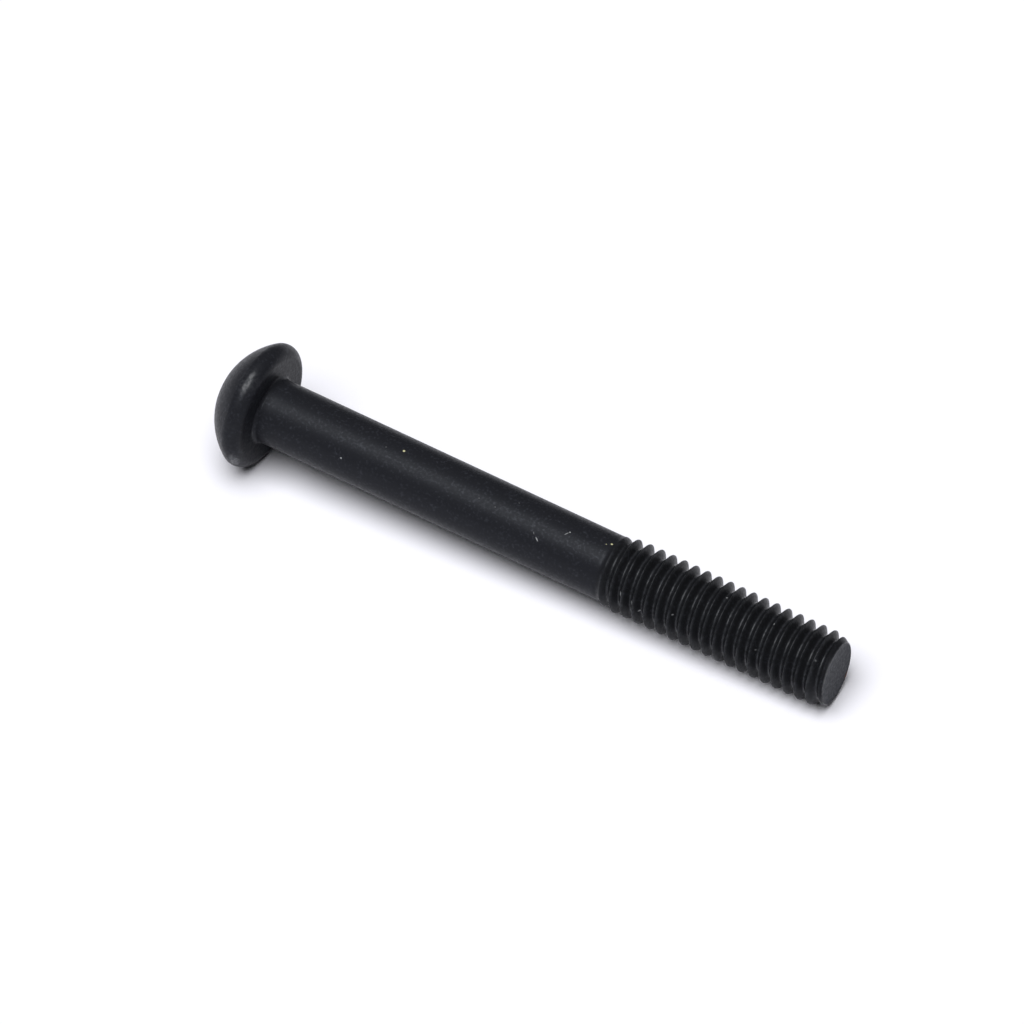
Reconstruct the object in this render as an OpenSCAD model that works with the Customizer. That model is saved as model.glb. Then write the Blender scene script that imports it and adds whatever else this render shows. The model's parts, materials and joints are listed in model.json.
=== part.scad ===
// Machine screw with a domed head, a plain shank and a rolled right-hand thread.
// It lies as it comes to rest on a flat surface, on the head's rim and the last full crest.
// Lengths are millimetres and angles are degrees. The screw is built along its own axis,
// with the bearing face at 0 and the tip upwards, and is then laid down along +X.

/* [Head] */
// Diameter of the head over its rounded rim
head_d = 10; // [8.5:0.25:13]
// Height of the head from the bearing face to the crown of the dome
head_h = 3.8; // [3:0.1:5]
// Radius of the rounded rim
rim_r = 0.75; // [0.4:0.05:1.1]
// Radius of the fillet between the bearing face and the shank
fillet_r = 0.3; // [0.1:0.05:0.6]

/* [Socket] */
// Width of the hexagon socket across its flats
socket_af = 4; // [3:0.5:4]
// Depth of the hexagon below the crown of the dome
socket_depth = 2.3; // [1.6:0.1:2.6]
// Diameter of the lead-in chamfer round the socket's mouth
mouth_d = 4.9; // [4.8:0.1:5.6]

/* [Shank] */
// Length of the screw below the head
length = 50; // [35:1:70]
// Diameter of the plain shank, which is the blank that the thread is rolled on
shank_d = 5.18; // [4.96:0.02:5.7]

/* [Thread] */
// Diameter over the crests
major_d = 5.94; // [5.8:0.02:6.2]
// Diameter at the bottom of the grooves
root_d = 4.78; // [4.5:0.02:4.9]
// Advance in one turn
pitch = 1; // [0.75:0.05:1.25]
// Length of full thread, measured back from the tip
thread_length = 18.4; // [12:0.2:28]
// Length over which the grooves fade out into the shank
runout_length = 2; // [1:0.25:4]
// Width of the crest along the axis
crest_width = 0.26; // [0.16:0.02:0.34]
// Width of the groove floor along the axis
root_width = 0.1; // [0.06:0.02:0.2]
// Depth of the seam that rolling leaves along the middle of the crest
seam_depth = 0.05; // [0.01:0.01:0.09]
// Turn of the thread about the axis, where 0 puts a crest on the underside at the bearing face
thread_turn = 123; // [0:1:359]

/* [Rest] */
// Turn of the head and its socket about the axis as the screw lies
lying_turn = 13; // [0:1:359]

/* [Tip] */
// Diameter of the end face inside the chamfer
tip_d = 4.88; // [4.6:0.02:5.2]
// Length of the chamfer along the axis
chamfer_length = 0.52; // [0.3:0.01:1]
// Diameter of the shallow dish in the end face
dish_d = 4.2; // [3:0.1:4.4]
// Depth of the dish
dish_depth = 0.12; // [0.05:0.01:0.3]

/* [Hidden] */
$fn = 96;

// Corners of the thread in one turn
columns = 36;
// Length by which one solid runs into the next, and by which a cut runs past a face
lap = 0.5;
// Step by which a curve stays inside its neighbour, so that the two cross cleanly
hair = 0.01;
// Half angle of the cone at the bottom of the socket
socket_point = 60;
steel = [0.11, 0.11, 0.12];

head_r = head_d / 2;
shank_r = shank_d / 2;
major_r = major_d / 2;
root_r = root_d / 2;
tip_r = tip_d / 2;
mouth_r = mouth_d / 2;
dish_r = dish_d / 2;

// Radius of the circle that the rim's own centre follows
rim_centre_r = head_r - rim_r;
// Radius of the dome that runs into the rim at a tangent, less a hair
rim_inner = rim_r - hair / 4;
dome_r = (pow(head_h - rim_r, 2) + pow(rim_centre_r, 2) - pow(rim_inner, 2))
    / (2 * (head_h - rim_r - rim_inner));
dome_z = dome_r - head_h;

thread_start = length - thread_length - runout_length;
full_end = length - chamfer_length;

// Place of the socket's mouth on the dome
mouth_z = dome_z - sqrt(pow(dome_r, 2) - pow(mouth_r, 2));
dish_sphere_r = (pow(dish_r, 2) + pow(dish_depth, 2)) / (2 * dish_depth);

// Place of a crest in the first column of corners, which the lying turn takes off the underside
crest_zero = pitch * ((thread_turn + lying_turn) % 360) / 360;
// The last full crest on the underside carries the tip end
crest_edge = pitch * thread_turn / 360 + crest_width / 2;
rest_z = crest_edge + pitch * floor((full_end - crest_edge) / pitch);
// The axis dips towards the tip by this angle, because the head is the wider end
rest_rise = rim_centre_r - major_r;
rest_run = rest_z + rim_r;
rest_tilt = atan(rest_rise / rest_run) + asin(rim_r / norm([rest_rise, rest_run]));
rest_height = rim_r + rim_centre_r * cos(rest_tilt) - rim_r * sin(rest_tilt);
// Ends of the laid screw along X, at the socket's mouth and at the tip
rest_left = mouth_z * cos(rest_tilt) - mouth_r * sin(rest_tilt);
rest_right = length * cos(rest_tilt) + tip_r * sin(rest_tilt);

// Section of the head as [radius, height], with true arcs on the rim and the dome
module head_section() {
    // The dome meets the rim on the line through both centres
    meeting_line = [rim_centre_r, -rim_r - dome_z] / norm([rim_centre_r, -rim_r - dome_z]);
    past_rim = [rim_centre_r, -rim_r] + (rim_r + lap) * meeting_line;
    intersection() {
        translate([0, dome_z]) circle(r = dome_r);
        polygon([
            [0, -rim_r], [rim_centre_r, -rim_r], past_rim,
            [past_rim[0], -head_h - lap], [0, -head_h - lap]
        ]);
    }
    polygon([[0, 0], [rim_centre_r, 0], [rim_centre_r, -rim_r - hair], [0, -rim_r - hair]]);
    translate([rim_centre_r, -rim_r]) circle(r = rim_r);
}

// Section of the plain shank with its fillet against the bearing face
module shank_section() {
    fillet_edge = shank_r + fillet_r;
    difference() {
        polygon([
            [0, -lap], [fillet_edge, -lap], [fillet_edge, fillet_r], [shank_r, fillet_r],
            [shank_r, thread_start], [0, thread_start]
        ]);
        translate([fillet_edge, fillet_r]) circle(r = fillet_r);
    }
}

module blank() {
    rotate_extrude() head_section();
    rotate_extrude() shank_section();
}

// Hexagon socket with its lead-in chamfer and the cone that a drill leaves at the bottom
module socket_cut() {
    top = -head_h - lap;
    floor_z = -head_h + socket_depth;
    corner_r = socket_af / 2 / cos(30);
    translate([0, 0, top]) cylinder(h = floor_z - top, r = corner_r, $fn = 6);
    cone_h = socket_af / 2 / tan(socket_point);
    translate([0, 0, floor_z - hair]) cylinder(h = cone_h, r1 = socket_af / 2 - hair, r2 = 0);
    translate([0, 0, mouth_z - lap]) cylinder(h = mouth_r + lap, r1 = mouth_r + lap, r2 = 0);
}

// Shallow dish that rolling leaves in the end face
module dish_cut() {
    translate([0, 0, length - dish_depth + dish_sphere_r]) sphere(r = dish_sphere_r);
}

// One pitch of the thread profile, as [place along the pitch from a crest, radius]
crest_share = crest_width / pitch / 2;
root_share = 1 / 2 - root_width / pitch / 2;
PROFILE = [
    [0, major_r - seam_depth], [crest_share, major_r], [root_share, root_r],
    [1 - root_share, root_r], [1 - crest_share, major_r]
];
rows_per_turn = len(PROFILE);
first_turn = floor(thread_start / pitch) - 2;
rows = rows_per_turn * (ceil((length - thread_start) / pitch) + 4);

function smooth(x) = let (t = min(1, max(0, x))) t * t * (3 - 2 * t);

// Height of the corner in a column and row of the helical lattice
function corner_z(i, j) = crest_zero + pitch
    * (i / columns + first_turn + floor(j / rows_per_turn) + PROFILE[j % rows_per_turn][0]);

// Radius there, faded into the shank at one end and cut by the chamfer at the other
function corner_r(j, z) = let (
        share = smooth((z - thread_start) / runout_length),
        rolled = shank_r + (PROFILE[j % rows_per_turn][1] - shank_r) * share,
        chamfer = tip_r + (major_r - tip_r) * (length - z) / chamfer_length
    ) min(rolled, chamfer);

function round_point(i, r, z) = [r * cos(360 * i / columns), r * sin(360 * i / columns), z];
function ring(r, z) = [for (i = [0 : columns - 1]) round_point(i, r, z)];

// Number of a corner: past either end of the thread it is the corner of that end's ring
function corner(i, j) = let (z = corner_z(i, j))
    z < thread_start + hair ? columns + i % columns
    : z > length - hair ? 2 * columns + i % columns
    : 3 * columns + (i == columns ? (j + rows_per_turn) * columns : j * columns + i);

// The two triangles of a four-cornered patch, without those that have no width
function split(a, b, c, d) = [
    for (t = [[a, d, c], [a, c, b]]) if (t[0] != t[1] && t[1] != t[2] && t[2] != t[0]) t
];

// The thread as one closed solid on a helical lattice, from inside the shank to the tip
module thread() {
    points = concat(
        ring(shank_r - hair, thread_start - lap),
        ring(shank_r - hair, thread_start),
        ring(tip_r, length),
        [for (j = [0 : rows - 1], i = [0 : columns - 1])
            let (z = corner_z(i, j)) round_point(i, corner_r(j, z), z)]
    );
    buried_wall = [for (i = [0 : columns - 1]) let (n = (i + 1) % columns)
        each split(i, n, columns + n, columns + i)];
    helix = [for (j = [0 : rows - rows_per_turn - 2], i = [0 : columns - 1])
        each split(corner(i, j), corner(i + 1, j), corner(i + 1, j + 1), corner(i, j + 1))];
    caps = [
        [for (i = [0 : columns - 1]) i],
        [for (i = [columns - 1 : -1 : 0]) 2 * columns + i]
    ];
    polyhedron(points = points, faces = concat(buried_wall, helix, caps), convexity = 10);
}

module screw() {
    color(steel)
    translate([-(rest_left + rest_right) / 2, 0, rest_height])
    rotate([0, 90 + rest_tilt, 0])
    rotate([0, 0, lying_turn])
    difference() {
        union() {
            blank();
            thread();
        }
        socket_cut();
        dish_cut();
    }
}

screw();
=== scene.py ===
"""Looks of a black machine screw: domed socket head, plain shank and a rolled thread, lying at rest."""

import json
import logging
import math
from dataclasses import dataclass, field
from enum import Enum, IntEnum

import bpy
import numpy as np
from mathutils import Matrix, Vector


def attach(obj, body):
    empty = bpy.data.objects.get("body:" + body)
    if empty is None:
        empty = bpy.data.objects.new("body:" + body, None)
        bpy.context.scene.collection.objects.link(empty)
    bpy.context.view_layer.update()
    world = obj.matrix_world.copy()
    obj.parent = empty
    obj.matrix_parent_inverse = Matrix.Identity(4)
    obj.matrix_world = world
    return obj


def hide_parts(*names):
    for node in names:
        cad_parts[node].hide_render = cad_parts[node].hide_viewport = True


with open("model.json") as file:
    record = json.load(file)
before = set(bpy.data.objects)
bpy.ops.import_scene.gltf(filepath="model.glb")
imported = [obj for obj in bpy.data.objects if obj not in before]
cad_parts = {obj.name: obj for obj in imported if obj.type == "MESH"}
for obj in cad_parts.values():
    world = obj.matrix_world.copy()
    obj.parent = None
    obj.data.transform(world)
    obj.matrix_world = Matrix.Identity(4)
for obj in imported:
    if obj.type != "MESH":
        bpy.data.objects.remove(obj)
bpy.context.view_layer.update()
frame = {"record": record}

MM = 0.001
log = logging.getLogger("machine_screw")


@dataclass(frozen=True)
class Lie:
    """Where the screw lies: its bearing centre and its own three directions in the frame, in metres.

    The own directions are down, which is own +x, side, which is own +y, and tip, which is own +z.
    """

    origin: np.ndarray
    down: np.ndarray
    side: np.ndarray
    tip: np.ndarray

    @classmethod
    def at_rest(cls, mounts: list[dict], screw: "MachineScrew") -> "Lie":
        """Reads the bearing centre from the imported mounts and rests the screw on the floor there.

        The screw rests on the head's rim and on the thread's last full crest.

        Args:
            mounts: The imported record's mounts.
            screw: The screw, in millimetres.

        Returns:
            The lie of the screw.
        """
        named = {mount["name"]: mount for mount in mounts}
        on_axis = np.array(named["thread"]["pos_m"])
        along = np.array(named["thread"]["axis"])
        bearing = on_axis + along * np.dot(np.array(named["bearing_face"]["pos_m"]) - on_axis, along)
        rim, rim_centre = screw.head.rim, screw.head.rim_centre
        rise, run = rim_centre - screw.thread.major / 2, screw.last_crest() + rim
        tilt = math.atan2(rise, run) + math.asin(rim / math.hypot(rise, run))
        bearing[2] = (rim + rim_centre * math.cos(tilt) - rim * math.sin(tilt)) * MM
        tip = np.array([math.cos(tilt), 0.0, -math.sin(tilt)])
        side = np.array([0.0, 1.0, 0.0])
        return cls(bearing, np.cross(side, tip), side, tip)

    def place(self, own: np.ndarray, turn: float) -> np.ndarray:
        """Lays own points in millimetres into the frame.

        Args:
            own: Points as rows of x, y and z in the screw's own directions.
            turn: Turn of the screw about its axis in degrees, from down towards side.

        Returns:
            The points in the frame, in metres.
        """
        c, s = math.cos(math.radians(turn)), math.sin(math.radians(turn))
        x = own[:, 0] * c - own[:, 1] * s
        y = own[:, 0] * s + own[:, 1] * c
        steps = np.outer(x, self.down) + np.outer(y, self.side) + np.outer(own[:, 2], self.tip)
        return self.origin + steps * MM


@dataclass(frozen=True)
class Row:
    """One row of points once round the axis, and how much that row is rubbed."""

    points: np.ndarray
    rubbed: np.ndarray


def ring(
    around: np.ndarray,
    radius: float | np.ndarray,
    height: float | np.ndarray,
    rubbed: float | np.ndarray = 0.0,
) -> Row:
    """Makes a row from a radius and a height.

    Args:
        around: Angle of each column in degrees.
        radius: Distance from the axis in millimetres.
        height: Place along the axis in millimetres.
        rubbed: Share from 0 to 1 by which the finish is rubbed there.

    Returns:
        The row.
    """
    angle = np.radians(around)
    full = np.ones_like(angle)
    points = np.column_stack([radius * np.cos(angle), radius * np.sin(angle), height * full])
    return Row(points, rubbed * full)


def arc(centre: tuple[float, float], radius: float, start: float, end: float, steps: int) -> list:
    """Points on an arc of an outline.

    Args:
        centre: The arc's centre as radius and height.
        radius: The arc's own radius.
        start: First angle in degrees, from the tip's direction towards outwards.
        end: Last angle in degrees.
        steps: Number of steps between them.

    Returns:
        Pairs of radius and height.
    """
    angles = np.radians(np.linspace(start, end, steps + 1))
    return [(centre[0] + radius * math.sin(a), centre[1] + radius * math.cos(a)) for a in angles]


def smooth(share: np.ndarray) -> np.ndarray:
    """Eases a share from 0 to 1 at both of its ends."""
    share = np.clip(share, 0.0, 1.0)
    return share * share * (3 - 2 * share)


@dataclass
class Head:
    """Domed head with a rounded rim, a flat bearing face and a hexagon socket, in millimetres."""

    # Places of the rows along each straight stretch of the outline, as shares of the stretch
    CONE_SHARES = (0.1, 0.4, 0.7, 0.96, 1.0)
    FOOT_SHARES = (0.5, 0.97, 1.0)
    WALL_SHARES = (0.03, 0.35, 0.65, 0.97, 1.0)
    CHAMFER_SHARES = (0.06, 0.5, 0.9)
    FACE_SHARES = (0.08, 0.5, 0.92)
    # Number of steps along each round stretch
    DOME_STEPS, RIM_STEPS, FILLET_STEPS = 22, 26, 8

    diameter: float = 10.2
    height: float = 4.08
    rim: float = 0.9
    fillet: float = 0.3
    socket_flats: float = 4.0
    socket_depth: float = 2.3
    mouth: float = 4.9
    mouth_edge: float = 0.08
    point_angle: float = 60.0
    rim_rub: float = 0.08
    rim_rub_start: float = 0.45
    mouth_rub: float = 0.4
    mouth_rub_width: float = 0.32

    def __post_init__(self) -> None:
        """Works out the dome, which runs into the rim at a tangent."""
        self.rim_centre = self.diameter / 2 - self.rim
        rise = self.height - self.rim
        self.dome = (rise**2 + self.rim_centre**2 - self.rim**2) / (2 * (rise - self.rim))
        self.dome_centre = self.dome - self.height
        meeting = math.degrees(math.atan2(self.rim_centre, self.rim + self.dome_centre))
        self.dome_end = 180 - meeting

    def hexagon(self, around: np.ndarray) -> np.ndarray:
        """Radius of the socket's hexagon at each angle, with a corner at 0."""
        return self.socket_flats / 2 / np.cos(np.radians(around % 60 - 30))

    def socket_rows(self, around: np.ndarray) -> list[Row]:
        """Rows of the socket, from beside its drilled point up to its mouth.

        Args:
            around: Angle of each column in degrees.

        Returns:
            The rows.
        """
        flat = self.socket_flats / 2
        floor = self.socket_depth - self.height
        slope = math.tan(math.radians(self.point_angle))
        wall = self.hexagon(around)
        mouth = self.mouth / 2
        dome_at_mouth = self.dome_centre - math.sqrt(self.dome**2 - mouth**2)
        wall_top = dome_at_mouth + mouth - wall
        cone = [ring(around, flat * q, floor + flat * (1 - q) / slope) for q in self.CONE_SHARES]
        foot = [ring(around, flat + (wall - flat) * q, floor) for q in self.FOOT_SHARES]
        walls = [ring(around, wall, floor + (wall_top - floor) * q) for q in self.WALL_SHARES]
        chamfer = [
            ring(around, wall + (mouth - wall) * q, wall_top + (dome_at_mouth - wall_top) * q)
            for q in self.CHAMFER_SHARES
        ]
        return cone + foot + walls + chamfer

    def point_height(self) -> float:
        """Height of the drilled point at the bottom of the socket."""
        slope = math.tan(math.radians(self.point_angle))
        return self.socket_depth - self.height + self.socket_flats / 2 / slope

    def outer_rows(self, around: np.ndarray, shank: float) -> list[Row]:
        """Rows of the dome, rim, bearing face and fillet, from the mouth to the shank.

        Args:
            around: Angle of each column in degrees.
            shank: Radius of the shank.

        Returns:
            The rows.
        """
        mouth_angle = 180 - math.degrees(math.asin(self.mouth / 2 / self.dome))
        dome_start = mouth_angle - math.degrees(self.mouth_edge / self.dome)
        dome = arc((0, self.dome_centre), self.dome, dome_start, self.dome_end, self.DOME_STEPS)
        rim = arc((self.rim_centre, -self.rim), self.rim, self.dome_end, 0, self.RIM_STEPS)[1:]
        neck = shank + self.fillet
        face = [(self.rim_centre + (neck - self.rim_centre) * q, 0.0) for q in self.FACE_SHARES]
        fillet = arc((neck, self.fillet), self.fillet, 180, 270, self.FILLET_STEPS)
        rub_width = self.rim * self.rim_rub_start
        rows = []
        for radius, height in dome + rim + face + fillet:
            outward = smooth((radius - self.rim_centre - rub_width) / rub_width)
            at_mouth = smooth(1 - (radius - self.mouth / 2) / self.mouth_rub_width)
            is_dome = 1.0 if height < -self.rim else 0.0
            rub = max(self.rim_rub * float(outward), self.mouth_rub * float(at_mouth) * is_dome)
            rows.append(ring(around, radius, height, rub))
        return rows


@dataclass
class Thread:
    """Rolled right-hand thread with a narrow crest and a rounded groove, in millimetres."""

    ARC_STEPS = 4
    FLANK_SHARES = (0.35, 0.7)
    # Waves of the uneven crest, each as a rate and a phase in radians
    WAVES = ((5.1, 0.0), (12.7, 1.3), (31.9, 0.4))
    # Turns by which the lattice runs past each end before it is cut to length
    SPARE_TURNS = 2

    major: float = 5.87
    pitch: float = 1.0
    length: float = 17.9
    runout: float = 2.0
    flank: float = 32.8
    crest_round: float = 0.04
    root_round: float = 0.14
    turn: float = 17.8
    waver_depth: float = 0.008
    waver_rate: float = 2 * math.pi / 3
    crest_rub: float = 0.75
    crest_rub_least: float = 0.5
    crest_rub_rate: float = 3.3
    crest_rub_width: float = 0.05
    chamfer_rub_fade: float = 0.1
    root_rub: float = 0.55
    root_rub_width: float = 0.1
    chamfer: float = 1.0
    chamfer_blend: float = 0.03

    def half_profile(self) -> list[tuple[float, float]]:
        """Profile from the crest to the middle of the groove, as place along the pitch and radius."""
        flank = math.radians(self.flank)
        turn = math.radians(90 - self.flank)
        rounded_off = (self.crest_round + self.root_round) * (1 / math.sin(flank) - 1)
        crest = self.major / 2
        root = crest - (self.pitch / 2 / math.tan(flank) - rounded_off)
        angles = [turn * q / self.ARC_STEPS for q in range(self.ARC_STEPS + 1)]
        top = [
            (self.crest_round * math.sin(a), crest - self.crest_round * (1 - math.cos(a))) for a in angles
        ]
        bottom = [
            (self.pitch / 2 - self.root_round * math.sin(a), root + self.root_round * (1 - math.cos(a)))
            for a in reversed(angles)
        ]
        start, end = np.array(top[-1]), np.array(bottom[0])
        walls = [tuple(start + (end - start) * q) for q in self.FLANK_SHARES]
        return top + walls + bottom

    def profile(self) -> np.ndarray:
        """One whole pitch of the profile, as rows of place along the pitch and radius."""
        half = self.half_profile()
        back = [(self.pitch - place, radius) for place, radius in half[-2:0:-1]]
        return np.array(half + back)

    def waver(self, turns: np.ndarray) -> np.ndarray:
        """Unevenness of the crest along the helix, from 0 to 1, at a number of turns."""
        waves = sum(np.sin(turns * rate + phase) for rate, phase in self.WAVES)
        return (waves / len(self.WAVES) + 1) / 2


@dataclass
class Tip:
    """End of the screw: a chamfer, a narrow lip and a shallow dish, in millimetres.

    The end was sheared a little out of square, so the face leans by `slant` degrees.
    """

    # Places of the rows over the lip and into the dish, as shares of each stretch
    LIP_SHARES = (0.15, 0.32, 0.5, 0.66, 0.8, 0.91, 1.0)
    DISH_SHARES = (0.97, 0.92, 0.84, 0.7, 0.5, 0.3, 0.12)

    face: float = 4.93
    length: float = 49.842
    lip_height: float = 0.08
    ring: float = 4.74
    dish: float = 0.09
    dish_power: float = 0.6
    lip_rub: float = 0.85
    slant: float = 4.5
    slant_towards: float = 132.6
    slant_reach: float = 1.0

    def rows(self, around: np.ndarray, lip_radius: float) -> list[Row]:
        """Rows from the top of the chamfer, over the lip and into the dish.

        Args:
            around: Angle of each column in degrees.
            lip_radius: Radius at which the chamfer ends and the lip starts.

        Returns:
            The rows.
        """
        rows = []
        for q in self.LIP_SHARES:
            inward = 1 - math.cos(q * math.pi / 2)
            radius = lip_radius + (self.ring / 2 - lip_radius) * inward
            height = self.length - self.lip_height * (1 - math.sin(q * math.pi / 2))
            rows.append(ring(around, radius, height, self.lip_rub * math.sin(q * math.pi)))
        for q in self.DISH_SHARES:
            depth = self.dish * (1 - q**2) ** self.dish_power
            rows.append(ring(around, self.ring / 2 * q, self.length - depth))
        return rows

    def lean(self, own: np.ndarray, turn: float) -> np.ndarray:
        """Leans the end of the screw out of square.

        Args:
            own: Own points in millimetres, before the lying turn.
            turn: Turn of the screw about its axis, in degrees.

        Returns:
            The points, where those at the end have moved along the axis.
        """
        towards = math.radians(self.slant_towards - turn)
        reach = smooth((own[:, 2] - self.length + self.slant_reach + self.dish) / self.slant_reach)
        across = own[:, 0] * math.cos(towards) + own[:, 1] * math.sin(towards)
        leant = own.copy()
        leant[:, 2] -= across * reach * math.tan(math.radians(self.slant))
        return leant


class Zone(IntEnum):
    """Which finish a face takes, as its number among the screw's materials."""

    SKIN = 0
    CUT_END = 1


class Skin:
    """One closed skin that is sewn together from rows of points."""

    def __init__(self, columns: int) -> None:
        """Starts an empty skin.

        Args:
            columns: Number of points in one turn round the axis.
        """
        self.columns = columns
        self.around = np.arange(columns) * 360.0 / columns
        self.points: list[np.ndarray] = []
        self.rubbed: list[np.ndarray] = []
        self.faces: list[tuple[int, ...]] = []
        self.zones: list[Zone] = []
        self.count = 0

    def add_points(self, points: np.ndarray, rubbed: np.ndarray) -> np.ndarray:
        """Adds points and returns their numbers."""
        self.points.append(points)
        self.rubbed.append(rubbed)
        numbers = np.arange(self.count, self.count + len(points))
        self.count += len(points)
        return numbers

    def add_row(self, row: Row) -> np.ndarray:
        """Adds one row and returns the numbers of its points."""
        return self.add_points(row.points, row.rubbed)

    def add_peak(self, height: float) -> int:
        """Adds a single point on the axis and returns its number."""
        return int(self.add_points(np.array([[0.0, 0.0, height]]), np.zeros(1))[0])

    def sew(self, corners: np.ndarray, zone: Zone) -> None:
        """Adds a face for each row of four corners, without the corners that fall together.

        Args:
            corners: Four point numbers in each row.
            zone: Which finish the faces take.
        """
        for face in corners.tolist():
            kept = [corner for k, corner in enumerate(face) if corner != face[k - 1]]
            if len(kept) > 2 and len(set(kept)) == len(kept):
                self.faces.append(tuple(kept))
                self.zones.append(zone)

    def band(self, lower: np.ndarray, upper: np.ndarray, zone: Zone = Zone.SKIN) -> None:
        """Joins two rows, where the second lies further along the outline."""
        after_lower, after_upper = np.roll(lower, -1), np.roll(upper, -1)
        self.sew(np.column_stack([lower, after_lower, after_upper, upper]), zone)

    def close_start(self, peak: int, row: np.ndarray) -> None:
        """Closes the start of the outline with a fan from a single point."""
        self.band(np.full_like(row, peak), row)

    def close_end(self, row: np.ndarray, peak: int, zone: Zone) -> None:
        """Closes the end of the outline with a fan to a single point."""
        self.band(row, np.full_like(row, peak), zone)


@dataclass
class MachineScrew:
    """The whole screw as one piece of steel, in millimetres."""

    head: Head = field(default_factory=Head)
    thread: Thread = field(default_factory=Thread)
    tip: Tip = field(default_factory=Tip)
    shank: float = 5.24
    lying_turn: float = 13.0
    columns: int = 144
    shank_steps: int = 28
    sharp_edge: float = 42.0

    def __post_init__(self) -> None:
        """Works out where the thread starts and where its lattice ends."""
        self.thread_start = self.tip.length - self.thread.length - self.thread.runout
        self.lattice_end = self.tip.length - self.tip.lip_height

    def last_crest(self) -> float:
        """Height of the last full crest on the underside."""
        crest = self.thread.pitch * self.thread.turn / 360
        full_end = self.tip.length - self.thread.chamfer
        return crest + self.thread.pitch * math.floor((full_end - crest) / self.thread.pitch)

    def chamfer_radius(self, height: np.ndarray | float) -> np.ndarray | float:
        """Radius of the chamfer's cone at a height."""
        face, major = self.tip.face / 2, self.thread.major / 2
        return face + (major - face) * (self.tip.length - height) / self.thread.chamfer

    def rolled_radius(self, height: np.ndarray, profile: np.ndarray) -> np.ndarray:
        """Radius of the thread, faded into the shank at one end and cut by the chamfer at the other.

        Args:
            height: Heights of the points.
            profile: Radius of the full profile at the same points.

        Returns:
            The radius at each point.
        """
        share = smooth((height - self.thread_start) / self.thread.runout)
        rolled = self.shank / 2 + (profile - self.shank / 2) * share
        cone = self.chamfer_radius(height)
        blend = self.thread.chamfer_blend
        overlap = np.clip(blend - np.abs(rolled - cone), 0, None)
        return np.minimum(rolled, cone) - overlap**2 / (4 * blend)

    def sew_thread(self, skin: Skin, start_row: np.ndarray, end_row: np.ndarray) -> None:
        """Sews the helical lattice of the thread between two rows.

        A column that has gone once round meets the first column one pitch further on.

        Args:
            skin: The skin to add to.
            start_row: Points of the ring where the run-out starts.
            end_row: Points of the ring where the lip of the tip starts.
        """
        thread, columns = self.thread, skin.columns
        profile = thread.profile()
        steps = len(profile)
        first = math.floor(self.thread_start / thread.pitch) - thread.SPARE_TURNS
        rolled_length = self.tip.length - self.thread_start
        turns = math.ceil(rolled_length / thread.pitch) + 2 * thread.SPARE_TURNS
        rows = turns * steps
        zero = thread.pitch * ((thread.turn + self.lying_turn) % 360) / 360
        step = np.arange(rows)
        place = np.tile(profile[:, 0], turns) + thread.pitch * (step // steps)
        radius = np.tile(profile[:, 1], turns)
        height = zero + first * thread.pitch + place[:, None] + thread.pitch * np.arange(columns) / columns
        from_crest = np.minimum(profile[:, 0], thread.pitch - profile[:, 0])
        crest = np.tile(np.exp(-((from_crest / thread.crest_rub_width) ** 2)), turns)[:, None]
        from_root = thread.pitch / 2 - from_crest
        root = np.tile(np.exp(-((from_root / thread.root_rub_width) ** 2)), turns)[:, None]
        helix = first + step[:, None] // steps + skin.around / 360
        full = radius[:, None] - thread.waver_depth * crest * thread.waver(helix * thread.waver_rate)
        rolled = self.rolled_radius(height, full)
        share = smooth((height - self.thread_start) / thread.runout)
        under_cone = self.chamfer_radius(height) - thread.major / 2
        unchamfered = smooth(under_cone / thread.chamfer_rub_fade + 1)
        angle = np.radians(skin.around)
        points = np.stack([rolled * np.cos(angle), rolled * np.sin(angle), height], axis=-1)
        least = thread.crest_rub_least
        uneven = least + (1 - least) * thread.waver(helix * thread.crest_rub_rate)
        on_crest = crest * unchamfered * thread.crest_rub * uneven
        rubbed = np.maximum(on_crest, root * thread.root_rub) * share
        used = (height > self.thread_start) & (height < self.lattice_end)
        numbers = np.full(height.shape, -1)
        numbers[used] = skin.add_points(points[used], rubbed[used])
        before, after = height <= self.thread_start, height >= self.lattice_end
        numbers = np.where(before, start_row[None, :], numbers)
        numbers = np.where(after, end_row[None, :], numbers)
        met = np.concatenate([numbers[steps:, :1], np.full((steps, 1), end_row[0])])
        numbers = np.hstack([numbers, met])[: rows - steps]
        corners = np.stack(
            [numbers[:-1, :-1], numbers[:-1, 1:], numbers[1:, 1:], numbers[1:, :-1]], axis=-1
        )
        skin.sew(corners.reshape(-1, 4), Zone.SKIN)

    def make_skin(self) -> Skin:
        """Sews the screw's whole skin, from the bottom of the socket to the middle of the dish."""
        skin = Skin(self.columns)
        around = skin.around
        start = skin.add_peak(self.head.point_height())
        rows = self.head.socket_rows(around) + self.head.outer_rows(around, self.shank / 2)
        heights = np.linspace(self.head.fillet, self.thread_start, self.shank_steps + 1)[1:]
        rows += [ring(around, self.shank / 2, height) for height in heights]
        numbers = [skin.add_row(row) for row in rows]
        skin.close_start(start, numbers[0])
        for lower, upper in zip(numbers, numbers[1:]):
            skin.band(lower, upper)
        lip_radius = float(self.chamfer_radius(self.lattice_end))
        lip_row = skin.add_row(ring(around, lip_radius, self.lattice_end))
        self.sew_thread(skin, numbers[-1], lip_row)
        tip_numbers = [skin.add_row(row) for row in self.tip.rows(around, lip_radius)]
        on_lip = len(self.tip.LIP_SHARES) - 1
        previous = lip_row
        for k, row in enumerate(tip_numbers):
            skin.band(previous, row, Zone.SKIN if k < on_lip else Zone.CUT_END)
            previous = row
        end = skin.add_peak(self.tip.length - self.tip.dish)
        skin.close_end(previous, end, Zone.CUT_END)
        return skin

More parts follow.
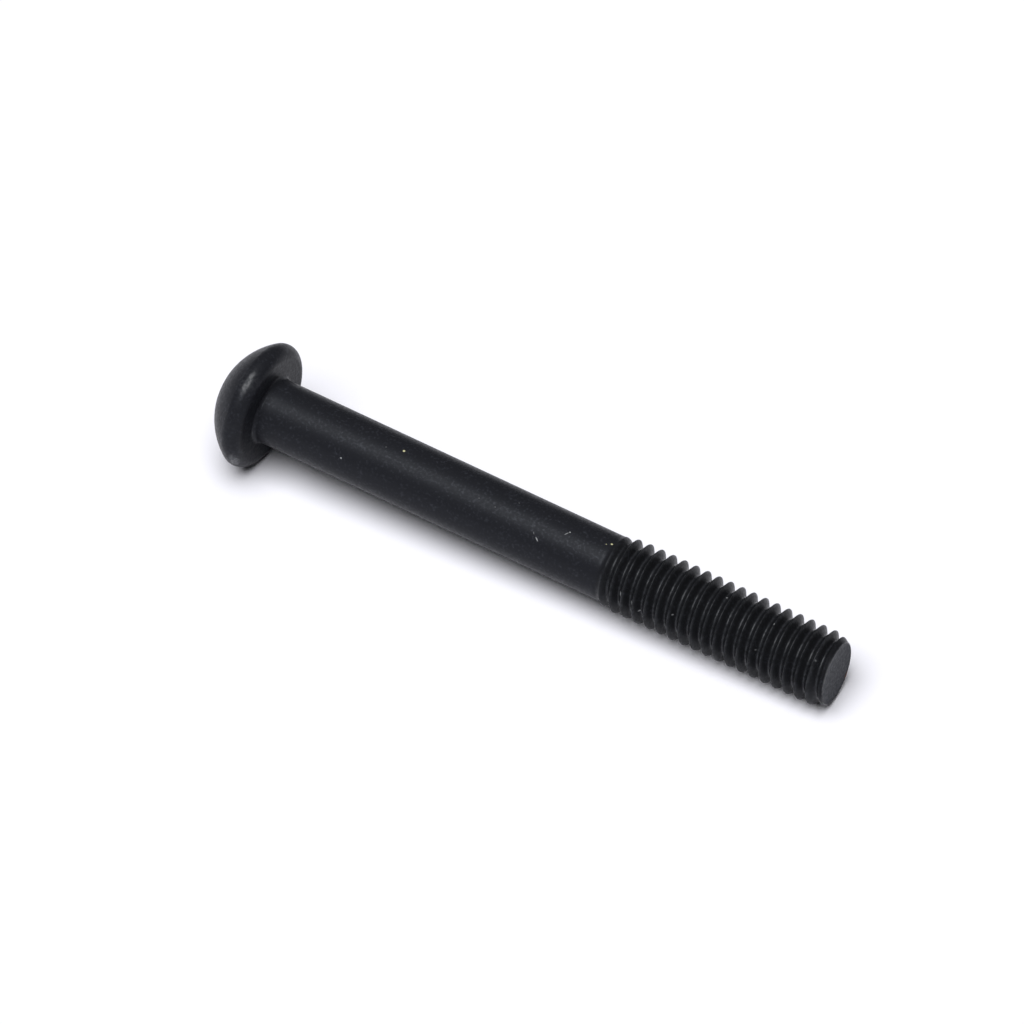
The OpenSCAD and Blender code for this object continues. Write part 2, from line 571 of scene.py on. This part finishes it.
    def unrolled(self, own: np.ndarray) -> np.ndarray:
        """Place of each point on the unrolled shank.

        Args:
            own: Own points in millimetres, before the lying turn.

        Returns:
            Rows of the place along the axis, the place round it from the top line towards the
            viewer, and the distance from the axis, in millimetres.
        """
        angle = np.arctan2(own[:, 1], own[:, 0]) + math.radians(self.lying_turn)
        around = np.arctan2(-np.sin(angle), -np.cos(angle))
        return np.column_stack([
            own[:, 2], around * self.shank / 2, np.hypot(own[:, 0], own[:, 1])
        ])

    def build(self, lie: Lie) -> bpy.types.Object:
        """Builds the screw's mesh where the frame says.

        Args:
            lie: Where the screw lies.

        Returns:
            The new object, with the places that its finish reads.
        """
        skin = self.make_skin()
        own = self.tip.lean(np.concatenate(skin.points), self.lying_turn)
        mesh = bpy.data.meshes.new("machine_screw")
        mesh.from_pydata(lie.place(own, self.lying_turn).tolist(), [], skin.faces)
        mesh.polygons.foreach_set("material_index", np.array(skin.zones, np.int32))
        mesh.shade_smooth()
        mesh.set_sharp_from_angle(angle=math.radians(self.sharp_edge))
        rubbed = mesh.attributes.new("rubbed", "FLOAT", "POINT")
        rubbed.data.foreach_set("value", np.concatenate(skin.rubbed).astype(np.float32))
        place = mesh.attributes.new("unrolled", "FLOAT_VECTOR", "POINT")
        place.data.foreach_set("vector", self.unrolled(own).astype(np.float32).ravel())
        mesh.validate()
        mesh.update()
        piece = bpy.data.objects.new("machine_screw", mesh)
        bpy.context.scene.collection.objects.link(piece)
        log.info("machine_screw: %d points, %d faces", len(mesh.vertices), len(mesh.polygons))
        return piece


class Board:
    """A node tree with short calls that add nodes and join them."""

    MIX_COLOUR_A, MIX_COLOUR_B, MIX_COLOUR_OUT = 6, 7, 2

    def __init__(self, tree: bpy.types.NodeTree) -> None:
        """Takes the tree to work on."""
        self.tree = tree

    def add(self, kind: str, inputs: dict | None = None, **settings: object) -> bpy.types.Node:
        """Adds a node.

        Args:
            kind: Blender's name of the node's type.
            inputs: Values or sockets for the node's inputs, by name or number.
            **settings: The node's own settings.

        Returns:
            The node.
        """
        node = self.tree.nodes.new(kind)
        for name, value in settings.items():
            setattr(node, name, value)
        for key, value in (inputs or {}).items():
            self.feed(node.inputs[key], value)
        return node

    def feed(self, socket: bpy.types.NodeSocket, value: object) -> None:
        """Joins a socket to an input, or sets the input's own value."""
        if isinstance(value, bpy.types.NodeSocket):
            self.tree.links.new(value, socket)
        else:
            socket.default_value = value

    def maths(self, operation: str, *values: object, clamp: bool = False) -> bpy.types.NodeSocket:
        """Adds a Math node and returns its result."""
        inputs = dict(enumerate(values))
        return self.add("ShaderNodeMath", inputs, operation=operation, use_clamp=clamp).outputs[0]

    def spread(self, value: object, low: float, high: float, to_low: float, to_high: float) -> object:
        """Maps a value smoothly from one range to another and returns the result."""
        inputs = {"Value": value, "From Min": low, "From Max": high, "To Min": to_low, "To Max": to_high}
        return self.add("ShaderNodeMapRange", inputs, interpolation_type="SMOOTHSTEP").outputs[0]

    def mix_colour(self, share: object, first: object, second: object) -> bpy.types.NodeSocket:
        """Mixes two colours by a share and returns the result."""
        inputs = {0: share, self.MIX_COLOUR_A: first, self.MIX_COLOUR_B: second}
        return self.add("ShaderNodeMix", inputs, data_type="RGBA").outputs[self.MIX_COLOUR_OUT]

    def vector_maths(self, operation: str, *values: object) -> bpy.types.Node:
        """Adds a Vector Math node and returns it."""
        return self.add("ShaderNodeVectorMath", dict(enumerate(values)), operation=operation)

    def noise(self, place: object, cell: object, detail: float) -> bpy.types.NodeSocket:
        """Adds noise whose cells have a size in metres and returns its value."""
        inputs = {"Vector": place, "Scale": self.maths("DIVIDE", 1.0, cell), "Detail": detail}
        return self.add("ShaderNodeTexNoise", inputs).outputs[0]

    def group(self, tree: bpy.types.NodeTree, inputs: dict) -> bpy.types.bpy_prop_collection:
        """Places a shader node group, feeds its inputs and returns its outputs."""
        return self.add("ShaderNodeGroup", inputs, node_tree=tree).outputs


class GroupMaker:
    """Builds a shader node group with named inputs and outputs."""

    def __init__(self, name: str, inputs: dict[str, str], outputs: dict[str, str]) -> None:
        """Starts the group.

        Args:
            name: Name of the group.
            inputs: Socket type of each input, by name.
            outputs: Socket type of each output, by name.
        """
        self.tree = bpy.data.node_groups.new(name, "ShaderNodeTree")
        for socket, kind in inputs.items():
            self.tree.interface.new_socket(name=socket, in_out="INPUT", socket_type=kind)
        for socket, kind in outputs.items():
            self.tree.interface.new_socket(name=socket, in_out="OUTPUT", socket_type=kind)
        self.board = Board(self.tree)
        self.given = self.board.add("NodeGroupInput").outputs
        self.result = self.board.add("NodeGroupOutput").inputs


FLOAT, VECTOR = "NodeSocketFloat", "NodeSocketVector"

# Detail of each noise, and the range of its value over which the effect comes in
GRAIN_DETAIL, GRAIN_RANGE = 2.5, (0.5, 0.74)
CLOUD_DETAIL, CLOUD_RANGE = 2.0, (0.32, 0.68)
PATCH_DETAIL, PATCH_RANGE = 3.0, (0.36, 0.62)
ROUGH_RANGE = (0.3, 0.7)
# A mark is full up to the first share of its half size and gone at the second
MARK_EDGE = (0.35, 1.0)
# Height of dusty flecks and of the pale painted highlights above the skin, as a multiple of the grain's own
# height
DUST_AND_HIGHLIGHT_RISE = 6.0


def make_mottle() -> bpy.types.NodeTree:
    """Builds the mottle that black oxide has: pale grains in a cloudy skin.

    Returns:
        A group that puts out Grains, Clouds and Height, each from 0 to 1.
    """
    group = GroupMaker(
        "oxide_mottle",
        {"Place": VECTOR, "Grain Cell": FLOAT, "Cloud Cell": FLOAT},
        {"Grains": FLOAT, "Clouds": FLOAT, "Height": FLOAT},
    )
    board, given = group.board, group.given
    grain = board.noise(given["Place"], given["Grain Cell"], GRAIN_DETAIL)
    cloud = board.noise(given["Place"], given["Cloud Cell"], CLOUD_DETAIL)
    board.feed(group.result["Grains"], board.spread(grain, *GRAIN_RANGE, 0.0, 1.0))
    board.feed(group.result["Clouds"], board.spread(cloud, *CLOUD_RANGE, 0.0, 1.0))
    board.feed(group.result["Height"], grain)
    return group.tree


def make_rub() -> bpy.types.NodeTree:
    """Builds the broken, patchy rub that shows on lips and rims, which on the head's rim is also a painted
    highlight.

    Returns:
        A group that turns a plain share Rubbed into a broken share Worn.
    """
    group = GroupMaker(
        "patchy_rub_and_highlight",
        {"Place": VECTOR, "Rubbed_And_Highlight": FLOAT, "Patch Cell": FLOAT, "Break Up": FLOAT},
        {"Worn_And_Highlight": FLOAT},
    )
    board, given = group.board, group.given
    noise = board.noise(given["Place"], given["Patch Cell"], PATCH_DETAIL)
    patches = board.spread(noise, *PATCH_RANGE, 0.0, 1.0)
    lost = board.maths("MULTIPLY", board.maths("SUBTRACT", 1.0, patches), given["Break Up"])
    kept = board.maths("SUBTRACT", 1.0, lost)
    board.feed(group.result["Worn_And_Highlight"], board.maths("MULTIPLY", given["Rubbed_And_Highlight"], kept, clamp=True))
    return group.tree


def make_mark() -> bpy.types.NodeTree:
    """Builds one soft-edged mark on the unrolled skin, such as a dusty fleck, a scratch or a painted
    highlight.

    Returns:
        A group that puts out the mark's Mask.
    """
    group = GroupMaker(
        "single_mark",
        {"Unrolled": VECTOR, "Centre": VECTOR, "Half Size": VECTOR, "Turn": FLOAT},
        {"Mask": FLOAT},
    )
    board, given = group.board, group.given
    offset = board.vector_maths("SUBTRACT", given["Unrolled"], given["Centre"]).outputs[0]
    turned = board.add(
        "ShaderNodeVectorRotate", {"Vector": offset, "Angle": given["Turn"]}, rotation_type="Z_AXIS"
    ).outputs[0]
    share = board.vector_maths("DIVIDE", turned, given["Half Size"]).outputs[0]
    length = board.vector_maths("LENGTH", share).outputs["Value"]
    board.feed(group.result["Mask"], board.spread(length, *MARK_EDGE, 1.0, 0.0))
    return group.tree


def make_rolled() -> bpy.types.NodeTree:
    """Builds the share of the rolled thread's darker skin, along the unrolled screw.

    Returns:
        A group that puts out Rolled, which is 0 on the shank and 1 on the thread.
    """
    group = GroupMaker("rolled_skin", {"Unrolled": VECTOR, "Start": FLOAT, "End": FLOAT}, {"Rolled": FLOAT})
    board, given = group.board, group.given
    along = board.add("ShaderNodeSeparateXYZ", {"Vector": given["Unrolled"]}).outputs["X"]
    board.feed(group.result["Rolled"], board.spread(along, given["Start"], given["End"], 0.0, 1.0))
    return group.tree


class Tint(Enum):
    """Colour of a mark, as linear red, green and blue, where RUB is the finish's own rubbed colour, which
    on the head's rim is also a painted highlight, and PALE is for pale flecks and scratches and also paints
    highlights on the tip's lip and the head's rim.
    """

    PALE = (0.42, 0.43, 0.44, 1.0)
    STRAW = (0.62, 0.6, 0.36, 1.0)
    BROWN = (0.085, 0.03, 0.014, 1.0)
    RUB = (0.0, 0.0, 0.0, 1.0)


@dataclass(frozen=True)
class Mark:
    """A fleck, scratch, rubbed patch or painted highlight: place along and round the screw, and size, in
    millimetres and degrees.
    """

    along: float
    around: float
    length: float
    width: float
    turn: float = 0.0
    tint: Tint = Tint.PALE
    strength: float = 1.0
    radius: float = 2.6
    depth: float = 1.0


MARKS = (
    Mark(12.04, 6.5, 0.26, 0.24, tint=Tint.STRAW, strength=1.0),
    Mark(7.73, 64.0, 0.2, 0.18, strength=0.8),
    Mark(10.65, 14.1, 0.1, 0.09, strength=0.4),
    Mark(19.24, 26.3, 0.16, 0.1, 30, strength=0.22),
    Mark(20.71, 28.6, 0.14, 0.09, -40, strength=0.3),
    Mark(22.16, 3.5, 0.13, 0.1, strength=0.22),
    Mark(24.4, 40.7, 0.3, 0.08, -50, strength=0.25),
    Mark(24.82, 47.7, 0.5, 0.13, -38, strength=0.62),
    Mark(26.73, 17.9, 0.5, 0.11, 55, strength=0.42),
    Mark(26.9, 13.2, 0.16, 0.14, strength=0.85),
    Mark(30.19, -0.4, 0.24, 0.2, tint=Tint.STRAW, strength=1.0, radius=2.7),
    Mark(29.84, 4.6, 0.16, 0.12, tint=Tint.STRAW, strength=0.5, radius=2.7),
    Mark(32.53, 72.1, 0.36, 0.36, strength=1.0, radius=2.63),
    Mark(33.61, 76.8, 0.3, 0.28, strength=0.9, radius=2.73),
    Mark(34.18, 94.1, 0.22, 0.22, strength=0.6, radius=2.38),
    Mark(36.98, 66.7, 0.16, 0.16, strength=0.5, radius=2.59),
    Mark(40.06, -7.0, 0.18, 0.18, strength=0.6, radius=2.31),
    Mark(44.56, 11.0, 0.16, 0.16, strength=0.6, radius=2.94),
    Mark(44.03, 61.6, 0.15, 0.15, strength=0.3, radius=2.49),
    Mark(48.76, 34.8, 0.18, 0.2, strength=0.25, radius=2.79),
    Mark(49.8, -135.0, 0.3, 1.0, tint=Tint.BROWN, strength=0.8, radius=2.4, depth=0.3),
    # A thin pale arc along the near side of the tip's lip: a painted highlight.
    Mark(49.83, 43.0, 4.8, 0.2, -86.5, strength=0.12, radius=2.42, depth=0.16),
    Mark(49.7, 118.0, 0.6, 1.0, tint=Tint.RUB, strength=0.9, radius=2.5, depth=0.4),
    # Rubbed patches on the head's rim, where it catches the light: real rub and gloss, whose paler colour
    # is also a painted highlight; the faint pale wash on the lower patch is a painted highlight.
    Mark(-0.8, 26.0, 2.0, 1.5, tint=Tint.RUB, strength=0.75, radius=5.0),
    Mark(-0.45, 112.0, 0.9, 1.5, tint=Tint.RUB, strength=1.0, radius=4.93),
    Mark(-0.45, 112.0, 0.6, 1.2, strength=0.07, radius=4.93),
    Mark(0.06, -55.0, 0.2, 0.34, tint=Tint.RUB, strength=0.8, radius=2.78, depth=0.3),
    Mark(0.04, 97.0, 0.12, 1.2, tint=Tint.RUB, strength=0.6, radius=2.8, depth=0.3),
    Mark(-0.05, -60.0, 0.16, 1.0, tint=Tint.RUB, strength=0.5, radius=4.5, depth=0.3),
)


@dataclass(frozen=True)
class BlackOxide:
    """A dipped black finish on steel, with the grain, clouds and rub of its place.

    Where the finish is rubbed it is smoother and paler, and it has a second gloss of its own strength; on
    the head's rim this paler rub is also a painted highlight.
    """

    name: str
    base: tuple[float, float, float, float]
    rolled: tuple[float, float, float, float]
    grain: tuple[float, float, float, float]
    worn_and_highlight: tuple[float, float, float, float]
    roughness: float
    rough_swing: float
    worn_roughness: float
    specular: float
    rub_gloss: float
    rub_gloss_roughness: float
    grain_cell: float
    cloud_cell: float
    bump: float
    patch_cell: float
    break_up: float
    grain_between_clouds: float = 0.45
    grain_on_thread: float = 0.6
    sheen_tint: tuple[float, float, float, float] = (0.88, 0.92, 1.0, 1.0)


SKIN_FINISH = BlackOxide(
    name="black_oxide_skin",
    base=(0.0135, 0.0142, 0.0175, 1.0),
    rolled=(0.0096, 0.01, 0.0114, 1.0),
    grain=(0.029, 0.031, 0.038, 1.0),
    worn_and_highlight=(0.034, 0.036, 0.041, 1.0),
    roughness=0.365,
    rough_swing=0.07,
    worn_roughness=0.27,
    specular=0.092,
    rub_gloss=0.556,
    rub_gloss_roughness=0.3,
    grain_cell=0.22 * MM,
    cloud_cell=1.1 * MM,
    bump=0.0035 * MM,
    patch_cell=0.32 * MM,
    break_up=0.85,
)

END_FINISH = BlackOxide(
    name="black_oxide_cut_end",
    base=(0.019, 0.021, 0.0265, 1.0),
    rolled=(0.019, 0.021, 0.0265, 1.0),
    grain=(0.036, 0.039, 0.047, 1.0),
    worn_and_highlight=(0.05, 0.053, 0.06, 1.0),
    roughness=0.5,
    rough_swing=0.08,
    worn_roughness=0.3,
    specular=0.12,
    rub_gloss=0.56,
    rub_gloss_roughness=0.36,
    grain_cell=0.22 * MM,
    cloud_cell=0.9 * MM,
    bump=0.003 * MM,
    patch_cell=0.4 * MM,
    break_up=0.7,
)


FINISHES = {Zone.SKIN: SKIN_FINISH, Zone.CUT_END: END_FINISH}


class OxidePainter:
    """Makes materials for black oxide finishes from the shared groups."""

    def __init__(self, screw: MachineScrew) -> None:
        """Builds the groups once.

        Args:
            screw: The screw, whose thread is darker than its shank.
        """
        self.round_scale = screw.shank / 2
        self.thread_start = screw.thread_start
        self.thread_full = screw.thread_start + screw.thread.runout / 2
        self.mottle = make_mottle()
        self.rub = make_rub()
        self.mark = make_mark()
        self.rolled = make_rolled()

    def mark_masks(self, board: Board, unrolled: bpy.types.NodeSocket) -> dict[Tint, object]:
        """Adds every mark and gathers their masks by tint.

        Args:
            board: The material's board.
            unrolled: Place on the unrolled skin.

        Returns:
            One mask for each tint.
        """
        masks: dict[Tint, object] = {}
        for mark in MARKS:
            placed = board.group(self.mark, {
                "Unrolled": unrolled,
                "Centre": (mark.along, math.radians(mark.around) * self.round_scale, mark.radius),
                "Half Size": (mark.length / 2, mark.width / 2, mark.depth),
                "Turn": math.radians(mark.turn),
            })
            mask = board.maths("MULTIPLY", placed["Mask"], mark.strength)
            masks[mark.tint] = board.maths("MAXIMUM", masks.get(mark.tint, 0.0), mask)
        return masks

    def colour(
        self, board: Board, finish: BlackOxide, grains: object, rolled: object, worn_and_highlight: object, masks: dict
    ) -> bpy.types.NodeSocket:
        """Mixes the skin's colour from the finish, its rub and its marks, among them painted highlights.

        Args:
            board: The material's board.
            finish: The finish.
            grains: Share of the pale grain.
            rolled: Share of the thread's darker skin.
            worn_and_highlight: Share by which the finish is rubbed off, which on the head's rim is also a
                painted highlight.
            masks: One mask for each tint.

        Returns:
            The colour.
        """
        colour = board.mix_colour(rolled, finish.base, finish.rolled)
        colour = board.mix_colour(grains, colour, finish.grain)
        colour = board.mix_colour(worn_and_highlight, colour, finish.worn_and_highlight)
        for tint, mask in masks.items():
            colour = board.mix_colour(mask, colour, tint.value)
        return colour

    def roughness(self, board: Board, finish: BlackOxide, height: object, worn_and_highlight: object) -> object:
        """Works out the roughness, which swings with the grain and drops where it is rubbed.

        Args:
            board: The material's board.
            finish: The finish.
            height: Height of the grain.
            worn_and_highlight: Share by which the finish is rubbed off, also on the painted highlight
                patches of the head's rim.

        Returns:
            The roughness.
        """
        low, high = finish.roughness - finish.rough_swing, finish.roughness + finish.rough_swing
        rough = board.spread(height, *ROUGH_RANGE, high, low)
        drop = board.maths("MULTIPLY", worn_and_highlight, finish.roughness - finish.worn_roughness)
        return board.maths("SUBTRACT", rough, drop)

    def paint(self, finish: BlackOxide) -> bpy.types.Material:
        """Makes the material of one finish.

        Args:
            finish: The finish.

        Returns:
            The material.
        """
        material = bpy.data.materials.new(finish.name)
        material.use_nodes = True
        material.node_tree.nodes.clear()
        board = Board(material.node_tree)
        place = board.add("ShaderNodeTexCoord").outputs["Object"]
        rubbed = board.add("ShaderNodeAttribute", attribute_name="rubbed").outputs["Fac"]
        unrolled = board.add("ShaderNodeAttribute", attribute_name="unrolled").outputs["Vector"]
        masks = self.mark_masks(board, unrolled)
        mottle = board.group(self.mottle, {
            "Place": place, "Grain Cell": finish.grain_cell, "Cloud Cell": finish.cloud_cell
        })
        # Rub on crests, lips and rims, with the patches on the head's rim that also paint its highlight.
        worn_and_highlight = board.group(self.rub, {
            "Place": place,
            "Rubbed_And_Highlight": board.maths("MAXIMUM", rubbed, masks.pop(Tint.RUB)),
            "Patch Cell": finish.patch_cell,
            "Break Up": finish.break_up,
        })["Worn_And_Highlight"]
        rolled = board.group(self.rolled, {
            "Unrolled": unrolled, "Start": self.thread_start, "End": self.thread_full
        })["Rolled"]
        clouds = board.spread(mottle["Clouds"], 0.0, 1.0, finish.grain_between_clouds, 1.0)
        grains = board.maths("MULTIPLY", mottle["Grains"], clouds)
        hidden = board.maths("MULTIPLY", rolled, 1.0 - finish.grain_on_thread)
        grains = board.maths("MULTIPLY", grains, board.maths("SUBTRACT", 1.0, hidden))
        # Dust flecks and the pale painted highlights are raised alike.
        dust_and_highlight = board.maths("MAXIMUM", masks[Tint.PALE], masks[Tint.STRAW])
        raised = board.maths("MULTIPLY", dust_and_highlight, DUST_AND_HIGHLIGHT_RISE)
        height = board.maths("ADD", mottle["Height"], raised)
        bump = board.add("ShaderNodeBump", {"Strength": 1.0, "Distance": finish.bump, "Height": height})
        shader = board.add(
            "ShaderNodeBsdfPrincipled",
            {
                "Base Color": self.colour(board, finish, grains, rolled, worn_and_highlight, masks),
                "Roughness": self.roughness(board, finish, mottle["Height"], worn_and_highlight),
                "Specular IOR Level": finish.specular,
                "Specular Tint": finish.sheen_tint,
                "Coat Weight": board.maths("MULTIPLY", worn_and_highlight, finish.rub_gloss),
                "Coat Roughness": finish.rub_gloss_roughness,
                "Normal": bump.outputs[0],
            },
        )
        board.add("ShaderNodeOutputMaterial", {"Surface": shader.outputs[0]})
        log.info("finish %s made", finish.name)
        return material


@dataclass(frozen=True)
class Studio:
    """Pale floor, soft light and camera, in metres and degrees, but the lens in millimetres."""

    floor_half: float = 2.0
    floor_colour: tuple[float, float, float, float] = (0.93, 0.93, 0.99, 1.0)
    sky_colour: tuple[float, float, float, float] = (1.0, 1.0, 1.0, 1.0)
    sky_strength: float = 0.04
    lamp_colour: tuple[float, float, float] = (1.0, 1.0, 1.0)
    lamp_strength: float = 3.5
    lamp_width: float = 49.0
    lamp_height: float = 71.5
    camera_azimuth: float = 31.1485
    camera_elevation: float = 45.4184
    camera_distance: float = 0.6131061
    camera_aim: tuple[float, float, float] = (-0.0049659, 0.0051972, -0.0009617)
    camera_lens: float = 281.25
    camera_sensor: float = 36.0
    camera_clip: tuple[float, float] = (0.01, 20.0)

    def lay_floor(self) -> bpy.types.Object:
        """Lays the pale floor under the screw and returns it."""
        half = self.floor_half
        corners = [(-half, -half, 0.0), (half, -half, 0.0), (half, half, 0.0), (-half, half, 0.0)]
        mesh = bpy.data.meshes.new("floor")
        mesh.from_pydata(corners, [], [(0, 1, 2, 3)])
        floor = bpy.data.objects.new("floor", mesh)
        bpy.context.scene.collection.objects.link(floor)
        material = bpy.data.materials.new("pale_card")
        material.use_nodes = True
        material.node_tree.nodes.clear()
        board = Board(material.node_tree)
        shader = board.add(
            "ShaderNodeBsdfPrincipled",
            {"Base Color": self.floor_colour, "Roughness": 1.0, "Specular IOR Level": 0.0},
        )
        board.add("ShaderNodeOutputMaterial", {"Surface": shader.outputs[0]})
        mesh.materials.append(material)
        return floor

    def hang_sky(self) -> None:
        """Sets the dim surroundings, which are the same for every ray."""
        world = bpy.data.worlds.new("soft_room")
        world.use_nodes = True
        world.node_tree.nodes.clear()
        board = Board(world.node_tree)
        soft = board.add("ShaderNodeBackground", {"Color": self.sky_colour, "Strength": self.sky_strength})
        board.add("ShaderNodeOutputWorld", {"Surface": soft.outputs[0]})
        bpy.context.scene.world = world

    def hang_lamp(self) -> None:
        """Hangs one wide soft lamp overhead, a little towards the viewer."""
        lamp = bpy.data.lights.new("wide_lamp", "SUN")
        lamp.energy = self.lamp_strength
        lamp.color = self.lamp_colour
        lamp.angle = math.radians(self.lamp_width)
        height = math.radians(self.lamp_height)
        towards = Vector((0.0, -math.cos(height), math.sin(height)))
        holder = bpy.data.objects.new("wide_lamp", lamp)
        holder.rotation_mode = "QUATERNION"
        holder.rotation_quaternion = towards.to_track_quat("Z", "Y")
        bpy.context.scene.collection.objects.link(holder)

    def set_camera(self) -> None:
        """Sets the camera at the photograph's place and angle."""
        azimuth, elevation = math.radians(self.camera_azimuth), math.radians(self.camera_elevation)
        back = Vector((
            math.sin(azimuth) * math.cos(elevation),
            -math.cos(azimuth) * math.cos(elevation),
            math.sin(elevation),
        ))
        lens = bpy.data.cameras.new("camera")
        lens.lens = self.camera_lens
        lens.sensor_width = self.camera_sensor
        lens.clip_start, lens.clip_end = self.camera_clip
        camera = bpy.data.objects.new("camera", lens)
        camera.location = Vector(self.camera_aim) + back * self.camera_distance
        camera.rotation_mode = "QUATERNION"
        camera.rotation_quaternion = back.to_track_quat("Z", "Y")
        bpy.context.scene.collection.objects.link(camera)
        bpy.context.scene.camera = camera

    def set_up(self) -> None:
        """Sets up the floor, surroundings, lamp, camera and plain view."""
        self.lay_floor()
        self.hang_sky()
        self.hang_lamp()
        self.set_camera()
        bpy.context.scene.view_settings.view_transform = "Standard"


def main() -> None:
    """Builds the studio and the screw, and dresses the screw in its finishes."""
    logging.basicConfig(level=logging.INFO, format="%(name)s: %(message)s")
    Studio().set_up()
    screw = MachineScrew()
    piece = screw.build(Lie.at_rest(frame["record"]["mounts"], screw))
    painter = OxidePainter(screw)
    for zone in Zone:
        piece.data.materials.append(painter.paint(FINISHES[zone]))
    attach(piece, "root")
    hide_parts("screw")


if __name__ == "__main__":
    main()
